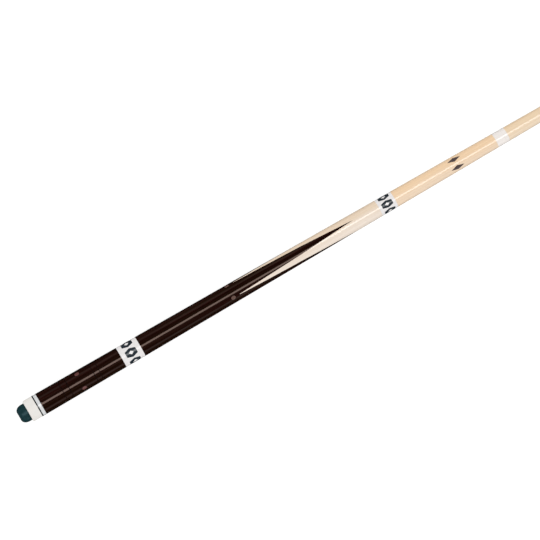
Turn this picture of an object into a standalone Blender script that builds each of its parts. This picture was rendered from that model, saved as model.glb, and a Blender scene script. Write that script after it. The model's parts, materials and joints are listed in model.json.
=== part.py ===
"""Two-piece pool cue, 58 in long, with a full-splice butt.

The cue lies along +X: the flat end of the rubber bumper is at the origin and
the leather tip points along +X. +Z is up. Around the cue, angles are measured
from +Z towards -Y. Dimensions are in millimetres and become metres as meshes
are made. Neighbouring solids keep GAP between them.
"""
import math

import bmesh
import bpy
from mathutils import Matrix, Vector

MM = 0.001
GAP = 0.3
STEPS = 32  # sides of every large turned surface
SMALL_STEPS = 24  # sides of the small turned pieces
SHARP_ANGLE = 35.0  # edges that turn more than this stay sharp

# Outside diameter of the butt, a gentle compound taper: D0 - D1 x - D2 x^2
BUTT_D0 = 30.7
BUTT_D1 = 0.0118
BUTT_D2 = 4.4e-6
# Outside of the shaft: from the joint down to the ferrule
TIP_DIAMETER = 13.0
SHAFT_GROWTH = 6.5
SHAFT_POWER = 1.8

# Stations along the cue
CAP_REAR = 13.2
BLACK_RING_REAR = 26.8
WHITE_RING_REAR = 28.5
SLEEVE_REAR = 32.9
SLEEVE_RINGS = (65.8, 75.0, 112.4, 120.3)
SLEEVE_RING_WIDTH = 0.9
SLEEVE_DOTS_X = 92.7
LOWER_BAND = (153.9, 182.8)
POINT_DOTS_X = 320.4
FOREARM_REAR = 324.3
HANDLE_FRONT = 502.0
UPPER_BAND = (545.6, 569.7)
MARK_X = 663.5
COLLAR_REAR = 724.7
JOINT_FACE = 737.1
SHAFT_WOOD_REAR = 742.4
FERRULE_REAR = 1446.0
FERRULE_FRONT = 1467.5
TIP_REAR = 1468.75
TIP_EDGE = 1472.7
CUE_LENGTH = 1474.0

# Radii inside the butt
TENON_R = 9.0
SLEEVE_BORE_R = TENON_R + GAP
WEIGHT_BORE_R = 6.4
WEIGHT_BORE_END = 112.0
FOREARM_TENON_R = 6.5
FOREARM_TENON_END = 600.0
COLLAR_TENON_R = 8.0

# Joint thread, 3/8-10 right hand
PIN_PITCH = 2.54
PIN_CREST_R = 4.76
PIN_ROOT_R = 3.81
PIN_REAR = 701.0
PIN_FRONT = 766.4
PIN_SIDES = 12
INSERT_R = 6.2
INSERT_FRONT = 769.0

# Splice: four maple points and four dark ones between them. Each maple point's
# bottom runs in two straight lengths: stations along the cue and from its axis.
SPLICE_BOTTOM = ((318.0, 13.6), (428.0, 7.25), (508.5, 0.0))
POINT_ANGLES = (28.0, 118.0, 208.0, 298.0)
DOT_ANGLES = (-44.0, 46.0, 136.0, 226.0)
TILE_COUNT = 6
TILE_LENGTH = 15.8
TILE_END = 0.6  # share of the tile's width left at its two blunt ends
TILE_WINDOW = 0.44  # window size as a share of the tile
TILE_WIDTH_ANGLE = 52.0
TILE_DEPTH = 1.7
MARK_ANGLES = (-34.0, 33.0)

COLOURS = {
    "dark_wood": ((0.028, 0.011, 0.008, 1.0), 0.22, 0.0),
    "maple": ((0.83, 0.65, 0.42, 1.0), 0.28, 0.0),
    "white_plastic": ((0.86, 0.85, 0.82, 1.0), 0.25, 0.0),
    "black_plastic": ((0.012, 0.016, 0.017, 1.0), 0.25, 0.0),
    "dark_inlay": ((0.018, 0.028, 0.036, 1.0), 0.25, 0.0),
    "rose_inlay": ((0.26, 0.13, 0.10, 1.0), 0.3, 0.0),
    "teal_rubber": ((0.008, 0.045, 0.052, 1.0), 0.55, 0.0),
    "steel": ((0.55, 0.55, 0.56, 1.0), 0.25, 1.0),
    "brass": ((0.72, 0.51, 0.2, 1.0), 0.3, 1.0),
    "ferrule": ((0.88, 0.83, 0.7, 1.0), 0.3, 0.0),
    "fibre": ((0.3, 0.03, 0.02, 1.0), 0.6, 0.0),
    "leather": ((0.085, 0.03, 0.022, 1.0), 0.75, 0.0),
}


def clear_scene():
    for obj in list(bpy.data.objects):
        bpy.data.objects.remove(obj, do_unlink=True)


def new_collection(name):
    collection = bpy.data.collections.new(name)
    bpy.context.scene.collection.children.link(collection)
    return collection


def material(name):
    found = bpy.data.materials.get(name)
    if found:
        return found
    colour, roughness, metallic = COLOURS[name]
    made = bpy.data.materials.new(name)
    made.use_nodes = True
    shader = made.node_tree.nodes["Principled BSDF"]
    shader.inputs["Base Color"].default_value = colour
    shader.inputs["Roughness"].default_value = roughness
    shader.inputs["Metallic"].default_value = metallic
    made.diffuse_color = colour
    return made


def butt_radius(x):
    return (BUTT_D0 - BUTT_D1 * x - BUTT_D2 * x * x) / 2


def shaft_radius(x):
    left = 1 - (x - SHAFT_WOOD_REAR) / (FERRULE_REAR - SHAFT_WOOD_REAR)
    return (TIP_DIAMETER + SHAFT_GROWTH * max(left, 0.0) ** SHAFT_POWER) / 2


def outside(start, end, radius=butt_radius, count=2):
    """Points of a tapered outer surface, from start to end along the cue."""
    return [
        (x, radius(x))
        for x in (start + (end - start) * i / (count - 1) for i in range(count))
    ]


def around(angle_deg):
    """The direction away from the axis at an angle from +Z towards -Y."""
    angle = math.radians(angle_deg)
    return Vector((0.0, -math.sin(angle), math.cos(angle)))


def add_object(name, mesh, look, collection, parent=None, origin_x=0.0):
    obj = bpy.data.objects.new(name, mesh)
    collection.objects.link(obj)
    obj.location = (origin_x * MM, 0.0, 0.0)
    if parent:
        obj.parent = parent
        obj.location = (origin_x * MM - parent.matrix_world.translation.x, 0, 0)
    if look:
        mesh.materials.append(material(look))
    return obj


def as_cutter(obj):
    obj.hide_render = True
    obj.display_type = "WIRE"
    return obj


def turned(name, outer, look, collection, parent=None, steps=STEPS, **bores):
    """A solid of revolution about X. outer and the bores are (x, radius) points with x rising.

    bore goes right through, rear_bore is blind from the rear face, front_bore from the front.
    """
    origin_x = outer[0][0]
    points = list(reversed(outer))
    bore = bores.get("bore")
    rear_bore = bores.get("rear_bore", [(outer[0][0], 0.0)])
    front_bore = bores.get("front_bore", [(outer[-1][0], 0.0)])
    if bore:
        points += bore
    else:
        points = front_bore + points + rear_bore
    mesh = bpy.data.meshes.new(name)
    shape = bmesh.new()
    rim = [
        shape.verts.new(((x - origin_x) * MM, radius * MM, 0.0))
        for x, radius in points
    ]
    pairs = list(zip(rim, rim[1:]))
    if bore:
        pairs.append((rim[-1], rim[0]))
    for first, second in pairs:
        shape.edges.new((first, second))
    shape.to_mesh(mesh)
    shape.free()
    obj = add_object(name, mesh, look, collection, parent, origin_x)
    screw = obj.modifiers.new("turn", "SCREW")
    screw.axis = "X"
    screw.steps = steps
    screw.render_steps = steps
    screw.use_merge_vertices = True
    screw.merge_threshold = 0.00001
    screw.use_smooth_shade = False
    return obj


def boolean(obj, cutter, operation="DIFFERENCE"):
    modifier = obj.modifiers.new(operation.lower(), "BOOLEAN")
    modifier.operation = operation
    modifier.solver = "EXACT"
    modifier.object = cutter
    return modifier


def finished(obj):
    """The mesh of an object with its modifiers applied."""
    bpy.context.view_layer.update()
    graph = bpy.context.evaluated_depsgraph_get()
    return bpy.data.meshes.new_from_object(obj.evaluated_get(graph))


def shade(mesh):
    """Smooth shading with the real edges kept sharp."""
    mesh.shade_smooth()
    mesh.set_sharp_from_angle(angle=math.radians(SHARP_ANGLE))


def settle(collection):
    """Apply every part's modifiers and shade its round faces smooth."""
    objects = [obj for obj in collection.objects if obj.type == "MESH"]
    cut = [obj for obj in objects if obj.modifiers]
    for obj, mesh in [(obj, finished(obj)) for obj in cut]:
        obj.modifiers.clear()
        obj.data = mesh
    for mesh in {obj.data.name: obj.data for obj in objects}.values():
        shade(mesh)


def prism(name, sides, length, width, low, high, collection, x=0.0):
    """An upright prism at the top of the cue: a box for sides=0, else a cylinder or lozenge."""
    shape = bmesh.new()
    if sides:
        bmesh.ops.create_cone(
            shape, cap_ends=True, segments=sides, radius1=0.5, radius2=0.5, depth=1.0
        )
    else:
        bmesh.ops.create_cube(shape, size=1.0)
    size = (length * MM, width * MM, (high - low) * MM)
    middle = Vector((x * MM, 0.0, (low + high) / 2 * MM))
    bmesh.ops.transform(
        shape,
        matrix=Matrix.Translation(middle) @ Matrix.Diagonal(Vector(size)).to_4x4(),
        verts=shape.verts,
    )
    mesh = bpy.data.meshes.new(name)
    shape.to_mesh(mesh)
    shape.free()
    obj = bpy.data.objects.new(name, mesh)
    collection.objects.link(obj)
    return obj


def plate(name, x, outline, low, high, collection):
    """An upright solid at the top of the cue, from (x, y) points round its outline."""
    shape = bmesh.new()
    floor = [shape.verts.new(((x + u) * MM, v * MM, low * MM)) for u, v in outline]
    roof = [shape.verts.new(((x + u) * MM, v * MM, high * MM)) for u, v in outline]
    shape.faces.new(reversed(floor))
    shape.faces.new(roof)
    for index in range(len(outline)):
        after = (index + 1) % len(outline)
        shape.faces.new((floor[index], floor[after], roof[after], roof[index]))
    mesh = bpy.data.meshes.new(name)
    shape.to_mesh(mesh)
    shape.free()
    obj = bpy.data.objects.new(name, mesh)
    collection.objects.link(obj)
    return obj


def hull(name, points, collection):
    """The convex solid around some points."""
    shape = bmesh.new()
    for point in points:
        shape.verts.new(Vector(point) * MM)
    bmesh.ops.convex_hull(shape, input=shape.verts)
    bmesh.ops.recalc_face_normals(shape, faces=shape.faces)
    mesh = bpy.data.meshes.new(name)
    shape.to_mesh(mesh)
    shape.free()
    obj = bpy.data.objects.new(name, mesh)
    collection.objects.link(obj)
    return as_cutter(obj)


def thread(name, start, turns, grow, collection):
    """A closed right-hand screw thread about X, larger all over by grow."""
    depth = PIN_CREST_R - PIN_ROOT_R
    flank = depth * math.tan(math.radians(30)) / PIN_PITCH
    spread = grow * math.tan(math.radians(30)) / PIN_PITCH
    crest = 0.23
    edge = (1 - crest) / 2 - flank
    steps = (
        (edge - spread, PIN_ROOT_R + grow),
        (edge + flank - spread, PIN_CREST_R + grow),
        (edge + flank + crest + spread, PIN_CREST_R + grow),
        (edge + 2 * flank + crest + spread, PIN_ROOT_R + grow),
    )
    count = len(steps)
    rows = int(round(turns * PIN_SIDES))
    shape = bmesh.new()
    grid = {}
    for row in range(rows + PIN_SIDES + 1):
        angle = 2 * math.pi * row / PIN_SIDES
        for step, (share, radius) in enumerate(steps):
            if row > rows and step:
                break
            x = start + PIN_PITCH * (row / PIN_SIDES + share)
            y = radius * math.cos(angle)
            z = radius * math.sin(angle)
            grid[row, step] = shape.verts.new((x * MM, y * MM, z * MM))

    def at(row, step):
        return grid[row + PIN_SIDES, 0] if step == count else grid[row, step]

    for row in range(rows):
        for step in range(count):
            corners = (
                at(row, step),
                at(row + 1, step),
                at(row + 1, step + 1),
                at(row, step + 1),
            )
            shape.faces.new(corners)
    rear = shape.verts.new((start * MM, 0.0, 0.0))
    front_x = start + PIN_PITCH * (turns + 1)
    front = shape.verts.new((front_x * MM, 0.0, 0.0))
    for row in range(PIN_SIDES):
        shape.faces.new((rear, at(row + 1, 0), at(row, 0)))
        shape.faces.new((front, at(rows + row, 0), at(rows + row + 1, 0)))
    for step in range(count):
        shape.faces.new((rear, at(0, step), at(0, step + 1)))
        shape.faces.new((front, at(rows, step + 1), at(rows, step)))
    bmesh.ops.recalc_face_normals(shape, faces=shape.faces)
    mesh = bpy.data.meshes.new(name)
    shape.to_mesh(mesh)
    shape.free()
    obj = bpy.data.objects.new(name, mesh)
    collection.objects.link(obj)
    return as_cutter(obj)


def splice_reach(x, run):
    """Distance from the axis at x of one straight length of a point's bottom."""
    (rear, high), (front, low) = SPLICE_BOTTOM[run : run + 2]
    return high + (low - high) * (x - rear) / (front - rear)


def make_handle(parts, cutters, parent):
    """Dark wood: rear tenon with the weight bore, grip, and four long points in front."""
    outer = [(CAP_REAR + 4.1, TENON_R), (LOWER_BAND[1] + GAP, TENON_R)]
    outer += outside(LOWER_BAND[1] + GAP, HANDLE_FRONT, count=6)
    bore = [(CAP_REAR + 4.1, WEIGHT_BORE_R), (WEIGHT_BORE_END, WEIGHT_BORE_R)]
    bore += [(WEIGHT_BORE_END + 3.6, 0.0)]
    handle = turned("handle", outer, "dark_wood", parts, parent, rear_bore=bore)
    ends = (SPLICE_BOTTOM[0][0] - 25, SPLICE_BOTTOM[-1][0] + 2)
    for index, angle in enumerate(POINT_ANGLES):
        out = around(angle)
        side = around(angle + 90)
        for run in range(len(SPLICE_BOTTOM) - 1):
            points = []
            for x in ends:
                reach = splice_reach(x, run) - GAP / math.sqrt(2)
                apex = Vector((x, 0, 0)) + out * reach
                points += [apex, apex + 24 * (out + side), apex + 24 * (out - side)]
            wedge = hull(f"point_wedge_{index + 1}_{run + 1}", points, cutters)
            boolean(handle, wedge)
    return handle


def make_forearm(parts, cutters, parent):
    """Maple: four points let into the handle, then a solid length with a front tenon."""
    outer = outside(FOREARM_REAR, UPPER_BAND[0] - GAP, count=5)
    outer += [(UPPER_BAND[0] - GAP, FOREARM_TENON_R)]
    outer += [(FOREARM_TENON_END - 1, FOREARM_TENON_R)]
    outer += [(FOREARM_TENON_END, FOREARM_TENON_R - 1)]
    forearm = turned("forearm", outer, "maple", parts, parent)
    stations = ((FOREARM_REAR - 25, 0), (SPLICE_BOTTOM[1][0], 0), (HANDLE_FRONT + GAP, 1))
    for index, angle in enumerate((POINT_ANGLES[0] + 45, POINT_ANGLES[0] + 135)):
        across = around(angle)
        along = around(angle + 90)
        points = []
        for x, run in stations:
            half = splice_reach(x, run) / math.sqrt(2) + GAP / 2
            for sign in (-1, 1):
                middle = Vector((x, 0, 0)) + across * half * sign
                points += [middle + 24 * along, middle - 24 * along]
        boolean(forearm, hull(f"splice_slot_{index + 1}", points, cutters))
    return forearm


def make_plugs(name, x, angles, length, width, depth, sides, look, host, sets):
    """Round or lozenge inlays set in pockets around the cue, flush with its surface."""
    parts, cutters, parent = sets
    low = butt_radius(x) - depth
    skin = turned(f"{name}_skin", outside(x - 30, x + 30), None, cutters)
    plug = prism(f"{name}_shape", sides, length, width, low, 20, cutters, x)
    boolean(plug, as_cutter(skin), "INTERSECT")
    mesh = finished(plug)
    as_cutter(plug)
    wide = 2 * GAP
    pocket = prism(
        f"{name}_pocket", sides, length + wide, width + wide, low - GAP, 22, cutters, x
    )
    for index, angle in enumerate(angles):
        turn = (math.radians(angle), 0.0, 0.0)
        obj = add_object(f"{name}_{index + 1}", mesh, None, parts, parent)
        obj.rotation_euler = turn
        hole = as_cutter(
            bpy.data.objects.new(f"{name}_pocket_{index + 1}", pocket.data)
        )
        cutters.objects.link(hole)
        hole.rotation_euler = turn
        boolean(host, hole)
    mesh.materials.append(material(look))
    as_cutter(pocket)


def tile_shape(name, x, grow, collection):
    """One band tile at the top of the cue: a blunt lozenge with a lozenge window."""
    radius = butt_radius(x)
    width = 2 * radius * math.sin(math.radians(TILE_WIDTH_ANGLE / 2))
    low = radius - TILE_DEPTH - grow
    half_length = TILE_LENGTH / 2 + grow
    half_width = width / 2 + grow
    blunt = half_width * TILE_END
    outline = [
        (-half_length, -blunt),
        (0.0, -half_width),
        (half_length, -blunt),
        (half_length, blunt),
        (0.0, half_width),
        (-half_length, blunt),
    ]
    tile = plate(name, x, outline, low, 20 + grow, collection)
    window_length = half_length * TILE_WINDOW - 2 * grow
    window_width = half_width * TILE_WINDOW - 2 * grow
    opening = [
        (-window_length, 0.0),
        (0.0, -window_width),
        (window_length, 0.0),
        (0.0, window_width),
    ]
    window = plate(f"{name}_window", x, opening, low - 2, 23, collection)
    boolean(tile, as_cutter(window))
    return tile


def make_band(name, ends, bore_radius, sets):
    """A white band with dark tiles inlaid all round."""
    parts, cutters, parent = sets
    rear, front = ends[0] + GAP / 2, ends[1] - GAP / 2
    middle = (ends[0] + ends[1]) / 2
    bore = [(rear, bore_radius), (front, bore_radius)]
    band = turned(name, outside(rear, front), "white_plastic", parts, parent, bore=bore)
    skin = turned(f"{name}_skin", outside(rear - 9, front + 9), None, cutters)
    tile = tile_shape(f"{name}_tile_shape", middle, 0.0, cutters)
    boolean(tile, as_cutter(skin), "INTERSECT")
    mesh = finished(tile)
    as_cutter(tile)
    pocket = tile_shape(f"{name}_pocket_shape", middle, GAP, cutters)
    hollow = finished(pocket)
    as_cutter(pocket)
    for index in range(TILE_COUNT):
        turn = (math.radians(360 * index / TILE_COUNT + 4), 0.0, 0.0)
        obj = add_object(f"{name}_tile_{index + 1}", mesh, None, parts, parent)
        obj.rotation_euler = turn
        hole = as_cutter(bpy.data.objects.new(f"{name}_pocket_{index + 1}", hollow))
        cutters.objects.link(hole)
        hole.rotation_euler = turn
        boolean(band, hole)
    mesh.materials.clear()
    mesh.materials.append(material("dark_inlay"))
    return band


def make_butt_end(parts, parent):
    """The cap and the two thin rings behind the sleeve."""
    rear = CAP_REAR + GAP
    seat = rear + 3.5
    outer = [(rear, butt_radius(rear) - 1.8), (rear + 0.5, butt_radius(rear) - 0.7)]
    outer += [(rear + 1.8, butt_radius(rear))]
    outer += [(BLACK_RING_REAR - GAP / 2, butt_radius(BLACK_RING_REAR))]
    bore = [(rear, WEIGHT_BORE_R), (seat, WEIGHT_BORE_R), (seat, SLEEVE_BORE_R)]
    bore += [(BLACK_RING_REAR - GAP / 2, SLEEVE_BORE_R)]
    turned("butt_cap", outer, "white_plastic", parts, parent, bore=bore)
    for name, start, end, look in (
        ("cap_ring_black", BLACK_RING_REAR, WHITE_RING_REAR, "black_plastic"),
        ("cap_ring_white", WHITE_RING_REAR, SLEEVE_REAR, "white_plastic"),
    ):
        ring(name, start, end, look, parts, parent)


def ring(name, start, end, look, parts, parent):
    rear, front = start + GAP / 2, end - GAP / 2
    bore = [(rear, SLEEVE_BORE_R), (front, SLEEVE_BORE_R)]
    return turned(name, outside(rear, front), look, parts, parent, bore=bore)


def make_sleeve(parts, cutters, parent):
    """The dark sleeve: five lengths of wood with a thin black ring between each two."""
    names = (
        "sleeve_rear",
        "sleeve_rear_collar",
        "sleeve_window",
        "sleeve_front_collar",
        "sleeve_front",
    )
    start = SLEEVE_REAR
    for index, name in enumerate(names):
        last = index == len(names) - 1
        half = SLEEVE_RING_WIDTH / 2
        end = LOWER_BAND[0] if last else SLEEVE_RINGS[index] - half
        length = ring(name, start, end, "dark_wood", parts, parent)
        if name == "sleeve_window":
            make_plugs(
                "sleeve_dot",
                SLEEVE_DOTS_X,
                DOT_ANGLES,
                6.6,
                5.2,
                2.2,
                20,
                "rose_inlay",
                length,
                (parts, cutters, parent),
            )
        if not last:
            start = SLEEVE_RINGS[index] + half
            ring(f"sleeve_ring_{index + 1}", end, start, "black_plastic", parts, parent)


def make_nose(parts, cutters, parent):
    """The maple length between the upper band and the joint collar."""
    rear, front = UPPER_BAND[1] + GAP / 2, COLLAR_REAR - GAP / 2
    outer = outside(rear, front, count=3)
    outer += [(front, COLLAR_TENON_R), (JOINT_FACE - GAP, COLLAR_TENON_R)]
    depth = FOREARM_TENON_END + 1
    socket = [(rear, FOREARM_TENON_R + GAP), (depth, FOREARM_TENON_R + GAP), (depth, 0)]
    hole = [(PIN_REAR - 1, 0), (PIN_REAR - 1, PIN_CREST_R + GAP)]
    hole += [(JOINT_FACE - GAP, PIN_CREST_R + GAP)]
    bores = {"rear_bore": socket, "front_bore": hole}
    nose = turned("forearm_nose", outer, "maple", parts, parent, **bores)
    make_plugs(
        "mark_lozenge",
        MARK_X,
        MARK_ANGLES,
        20.0,
        6.4,
        1.9,
        4,
        "dark_inlay",
        nose,
        (parts, cutters, parent),
    )
    return nose


def make_joint(parts, cutters, parent):
    """The white butt collar and the threaded steel pin that stands out of it."""
    rear = COLLAR_REAR + GAP / 2
    bore_radius = COLLAR_TENON_R + GAP
    bore = [(rear, bore_radius), (JOINT_FACE - GAP / 2, bore_radius)]
    outer = outside(rear, JOINT_FACE - GAP / 2)
    turned("joint_collar", outer, "white_plastic", parts, parent, bore=bore)
    shank = [(PIN_REAR, PIN_ROOT_R), (PIN_REAR + 1, PIN_CREST_R)]
    for groove in range(2):
        x = PIN_REAR + 8 + 12 * groove
        shank += [(x, PIN_CREST_R), (x + 1.2, PIN_ROOT_R), (x + 2.4, PIN_CREST_R)]
    shank += [(JOINT_FACE - 1.2, PIN_CREST_R), (JOINT_FACE - 0.6, PIN_ROOT_R - 0.25)]
    shank += [(PIN_FRONT - 0.5, PIN_ROOT_R - 0.25), (PIN_FRONT - 0.5, 2.6)]
    pin = turned("joint_pin", shank, "steel", parts, parent, SMALL_STEPS)
    turns = (PIN_FRONT - JOINT_FACE) / PIN_PITCH + 2
    helix = thread("pin_thread", JOINT_FACE - 2 * PIN_PITCH, turns, 0.0, cutters)
    blank = [(JOINT_FACE - 0.9, PIN_CREST_R + 1), (PIN_FRONT - 2.2, PIN_CREST_R + 1)]
    blank += [(PIN_FRONT, PIN_ROOT_R - 1.1)]
    trim = turned("pin_trim", blank, None, cutters, steps=SMALL_STEPS)
    boolean(helix, as_cutter(trim), "INTERSECT")
    boolean(pin, helix, "UNION")


def make_bumper(parts, parent):
    """Rubber bumper: a flat-ended dome with a ribbed stem that pushes into the cap."""
    edge = 12.3
    outer = [(0.0, 6.2), (0.4, 7.5), (1.2, 8.9), (2.4, 10.1), (4.0, 11.1), (6.0, 11.8)]
    outer += [(8.5, edge)]
    outer += [(CAP_REAR, edge), (CAP_REAR, 5.3)]
    for rib in range(2):
        x = CAP_REAR + 4 + 5.4 * rib
        outer += [(x, 5.3), (x + 0.5, 6.0), (x + 2.6, 5.3)]
    outer += [(CAP_REAR + 14.4, 5.3), (CAP_REAR + 15.6, 4.2)]
    turned("bumper", outer, "teal_rubber", parts, parent)


def make_weight(parts, cutters, parent):
    """Steel weight bolt in the butt's bore, with a hex socket in its rear face."""
    outer = [(62.0, 5.2), (62.8, 6.0)]
    for groove in range(2):
        x = 75 + 22 * groove
        outer += [(x, 6.0), (x + 1, 5.4), (x + 2, 6.0)]
    outer += [(109.2, 6.0), (110.0, 5.2)]
    bolt = turned("weight_bolt", outer, "steel", parts, parent, SMALL_STEPS)
    hexagon = [(58.0, 3.46), (69.0, 3.46)]
    socket = turned("hex_socket", hexagon, None, cutters, steps=6)
    boolean(bolt, as_cutter(socket))


def make_shaft(parts, cutters, parent):
    """Maple shaft with its brass insert, ferrule, fibre pad and leather tip."""
    rear = JOINT_FACE + GAP
    wood = SHAFT_WOOD_REAR + GAP / 2
    outer = [(rear, COLLAR_TENON_R), (wood, COLLAR_TENON_R)]
    outer += outside(wood, FERRULE_REAR - GAP / 2, shaft_radius, 9)
    outer += [(FERRULE_REAR - GAP / 2, 4.2), (FERRULE_FRONT - GAP, 4.2)]
    hole = [(rear, INSERT_R + GAP), (INSERT_FRONT + 1, INSERT_R + GAP)]
    hole += [(INSERT_FRONT + 1, 0)]
    turned("shaft", outer, "maple", parts, parent, rear_bore=hole)

    body = [(rear, INSERT_R)]
    for groove in range(2):
        x = rear + 9 + 11 * groove
        body += [(x, INSERT_R), (x + 1, INSERT_R - 0.5), (x + 2, INSERT_R)]
    body += [(INSERT_FRONT, INSERT_R)]
    insert = turned("shaft_insert", body, "brass", parts, parent, SMALL_STEPS)
    turns = (INSERT_FRONT - JOINT_FACE) / PIN_PITCH + 4
    tap = thread("insert_thread", JOINT_FACE - 3 * PIN_PITCH, turns, GAP, cutters)
    boolean(insert, tap)

    end_r = TIP_DIAMETER / 2
    outer = [(FERRULE_REAR + GAP / 2, end_r), (FERRULE_FRONT, end_r)]
    bore = [(FERRULE_REAR + GAP / 2, 4.5), (FERRULE_FRONT, 4.5)]
    turned("ferrule", outer, "ferrule", parts, parent, bore=bore)
    pad = [(FERRULE_FRONT + GAP, end_r), (TIP_REAR - GAP / 2, end_r)]
    turned("tip_pad", pad, "fibre", parts, parent)
    rise = CUE_LENGTH - TIP_EDGE
    tip = [(TIP_REAR + GAP / 2, end_r), (TIP_EDGE, end_r)]
    for share in (0.25, 0.55, 0.85):
        tip.append((TIP_EDGE + rise * share, end_r * math.sqrt(1 - share**1.15)))
    tip.append((CUE_LENGTH, 0.9))
    turned("tip", tip, "leather", parts, parent)


def make_shaft_collar(parts, parent):
    """White ring on the shaft side of the joint."""
    rear, front = JOINT_FACE + GAP / 2, SHAFT_WOOD_REAR - GAP / 2
    bore_radius = COLLAR_TENON_R + GAP
    bore = [(rear, bore_radius), (front, bore_radius)]
    outer = outside(rear, front)
    turned("shaft_collar", outer, "white_plastic", parts, parent, bore=bore)


def empty(name, x, collection, parent=None):
    obj = bpy.data.objects.new(name, None)
    obj.empty_display_size = 0.02
    collection.objects.link(obj)
    obj.location = (x * MM, 0.0, 0.0)
    if parent:
        obj.parent = parent
        obj.location.x -= parent.matrix_world.translation.x
    bpy.context.view_layer.update()
    return obj


def main():
    clear_scene()
    parts = new_collection("pool_cue")
    cutters = new_collection("cutters")
    cue = empty("cue_origin", 0.0, parts)
    pull = empty("bumper_pull_axis", CAP_REAR, parts, cue)
    weight = empty("weight_travel_axis", 62.0, parts, cue)
    travel = empty("shaft_travel_axis", JOINT_FACE, parts, cue)
    turn = empty("shaft_turn_axis", JOINT_FACE, parts, travel)

    make_bumper(parts, pull)
    make_weight(parts, cutters, weight)
    make_butt_end(parts, cue)
    make_sleeve(parts, cutters, cue)
    handle = make_handle(parts, cutters, cue)
    point_sets = (parts, cutters, cue)
    make_plugs(
        "point_dot",
        POINT_DOTS_X,
        POINT_ANGLES,
        6.4,
        5.4,
        2.2,
        20,
        "rose_inlay",
        handle,
        point_sets,
    )
    make_forearm(parts, cutters, cue)
    make_band("lower_band", LOWER_BAND, SLEEVE_BORE_R, point_sets)
    make_band("upper_band", UPPER_BAND, FOREARM_TENON_R + GAP, point_sets)
    make_nose(parts, cutters, cue)
    make_joint(parts, cutters, cue)
    make_shaft_collar(parts, travel)
    make_shaft(parts, cutters, turn)
    settle(parts)


main()
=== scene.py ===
"""Looks, stage, light and camera for a two-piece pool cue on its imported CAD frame.

The cue lies along +X with the flat end of its rubber bumper at the origin.
Around the cue, angles are measured from +Z towards -Y. Lengths are in
millimetres until a mesh is made. Meshes, lights and the camera are in metres.
"""

import json
import math

import bmesh
import bpy
from mathutils import Matrix, Vector


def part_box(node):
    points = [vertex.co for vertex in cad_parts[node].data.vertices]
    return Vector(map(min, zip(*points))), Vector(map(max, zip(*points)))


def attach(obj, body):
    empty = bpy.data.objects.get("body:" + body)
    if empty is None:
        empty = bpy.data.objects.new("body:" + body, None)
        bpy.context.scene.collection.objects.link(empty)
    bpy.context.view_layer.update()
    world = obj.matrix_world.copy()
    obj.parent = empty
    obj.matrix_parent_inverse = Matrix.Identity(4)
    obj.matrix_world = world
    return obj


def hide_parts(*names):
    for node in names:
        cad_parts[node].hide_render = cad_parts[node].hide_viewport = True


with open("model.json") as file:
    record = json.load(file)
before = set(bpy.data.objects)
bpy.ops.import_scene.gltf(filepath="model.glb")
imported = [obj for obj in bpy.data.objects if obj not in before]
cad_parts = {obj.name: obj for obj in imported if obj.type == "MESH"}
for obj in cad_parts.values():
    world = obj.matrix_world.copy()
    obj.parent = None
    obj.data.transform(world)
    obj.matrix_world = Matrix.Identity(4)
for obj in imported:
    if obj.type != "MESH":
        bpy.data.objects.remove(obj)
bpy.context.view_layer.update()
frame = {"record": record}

MM = 0.001
SIDES = 128  # sides of a turned surface
SMALL_SIDES = 72  # sides of a threaded or hidden one
CAD_GAP = 0.3  # how far CAD neighbours stand apart
SEAM = 0.03  # how far the pieces here stand apart
SHARP_ANGLE = math.radians(32)
STRAIGHT_ANGLE = 2.75  # a corner wider than this, in radians, isn't rounded
FAR = 24.0  # well outside the cue, for the far sides of cutting tools
CLEAR = 20.0  # just outside the cue

# Outside of the cue, as in the CAD: the butt's diameter is D0 - D1 * x - D2 * x * x
BUTT_D0 = 30.7
BUTT_D1 = 0.0118
BUTT_D2 = 4.4e-6
TIP_R = 6.5
SHAFT_GROWTH = 6.5
SHAFT_POWER = 1.8

CAP_EDGE = 1.8  # rounding of the cap's rear edge
TIP_DOME = 1.3  # height of the tip's crown

# Bumper: (x, radius) points of its dome, then its radii
BUMPER_DOME = (
    (0.0, 0.0),
    (0.0, 6.2),
    (0.14, 6.9),
    (0.4, 7.55),
    (0.75, 8.25),
    (1.2, 8.93),
    (1.75, 9.55),
    (2.4, 10.13),
    (3.15, 10.67),
    (4.0, 11.13),
    (4.95, 11.52),
    (6.0, 11.84),
    (7.2, 12.1),
    (8.5, 12.26),
)
BUMPER_R = 12.3
STEM_R = 5.3
STEM_RIBS = 2
RIB_SPACING = 5.4

# Weight bolt
WEIGHT_R = 6.0
WEIGHT_NECK_R = 5.4
WEIGHT_END_R = 5.2
HEX_R = 3.46
HEX_DEPTH = 7.0

# Radii inside the cue
TENON_R = 9.0
WEIGHT_BORE_R = 6.4
FOREARM_TENON_R = 6.5
COLLAR_TENON_R = 8.0
INSERT_R = 6.2
FERRULE_BORE_R = 4.5
FERRULE_TENON_R = 4.2

# Joint thread
PITCH = 2.54
PIN_CREST_R = 4.76
PIN_ROOT_R = 3.81
PIN_TAPER = 2.2  # length of the pin's tapered front end
PIN_TAPER_STEPS = 8
PIN_TAPER_DROP = 2.0  # how much radius it loses there
THREAD_LAND = 0.13  # half the crest's width, as a share of the pitch
THREAD_FLANK = 0.22  # width of one flank, as a share of the pitch
THREAD_STEPS = 14  # rows of vertices in each pitch
THREAD_FADE = 1.5  # length over which the thread starts and stops

# Splice: a maple point's bottom runs in two straight lengths, given as
# stations along the cue and distances from its axis
SPLICE_BOTTOM = ((318.0, 13.6), (428.0, 7.25), (508.5, 0.0))
POINT_ANGLES = (28.0, 118.0, 208.0, 298.0)

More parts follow.
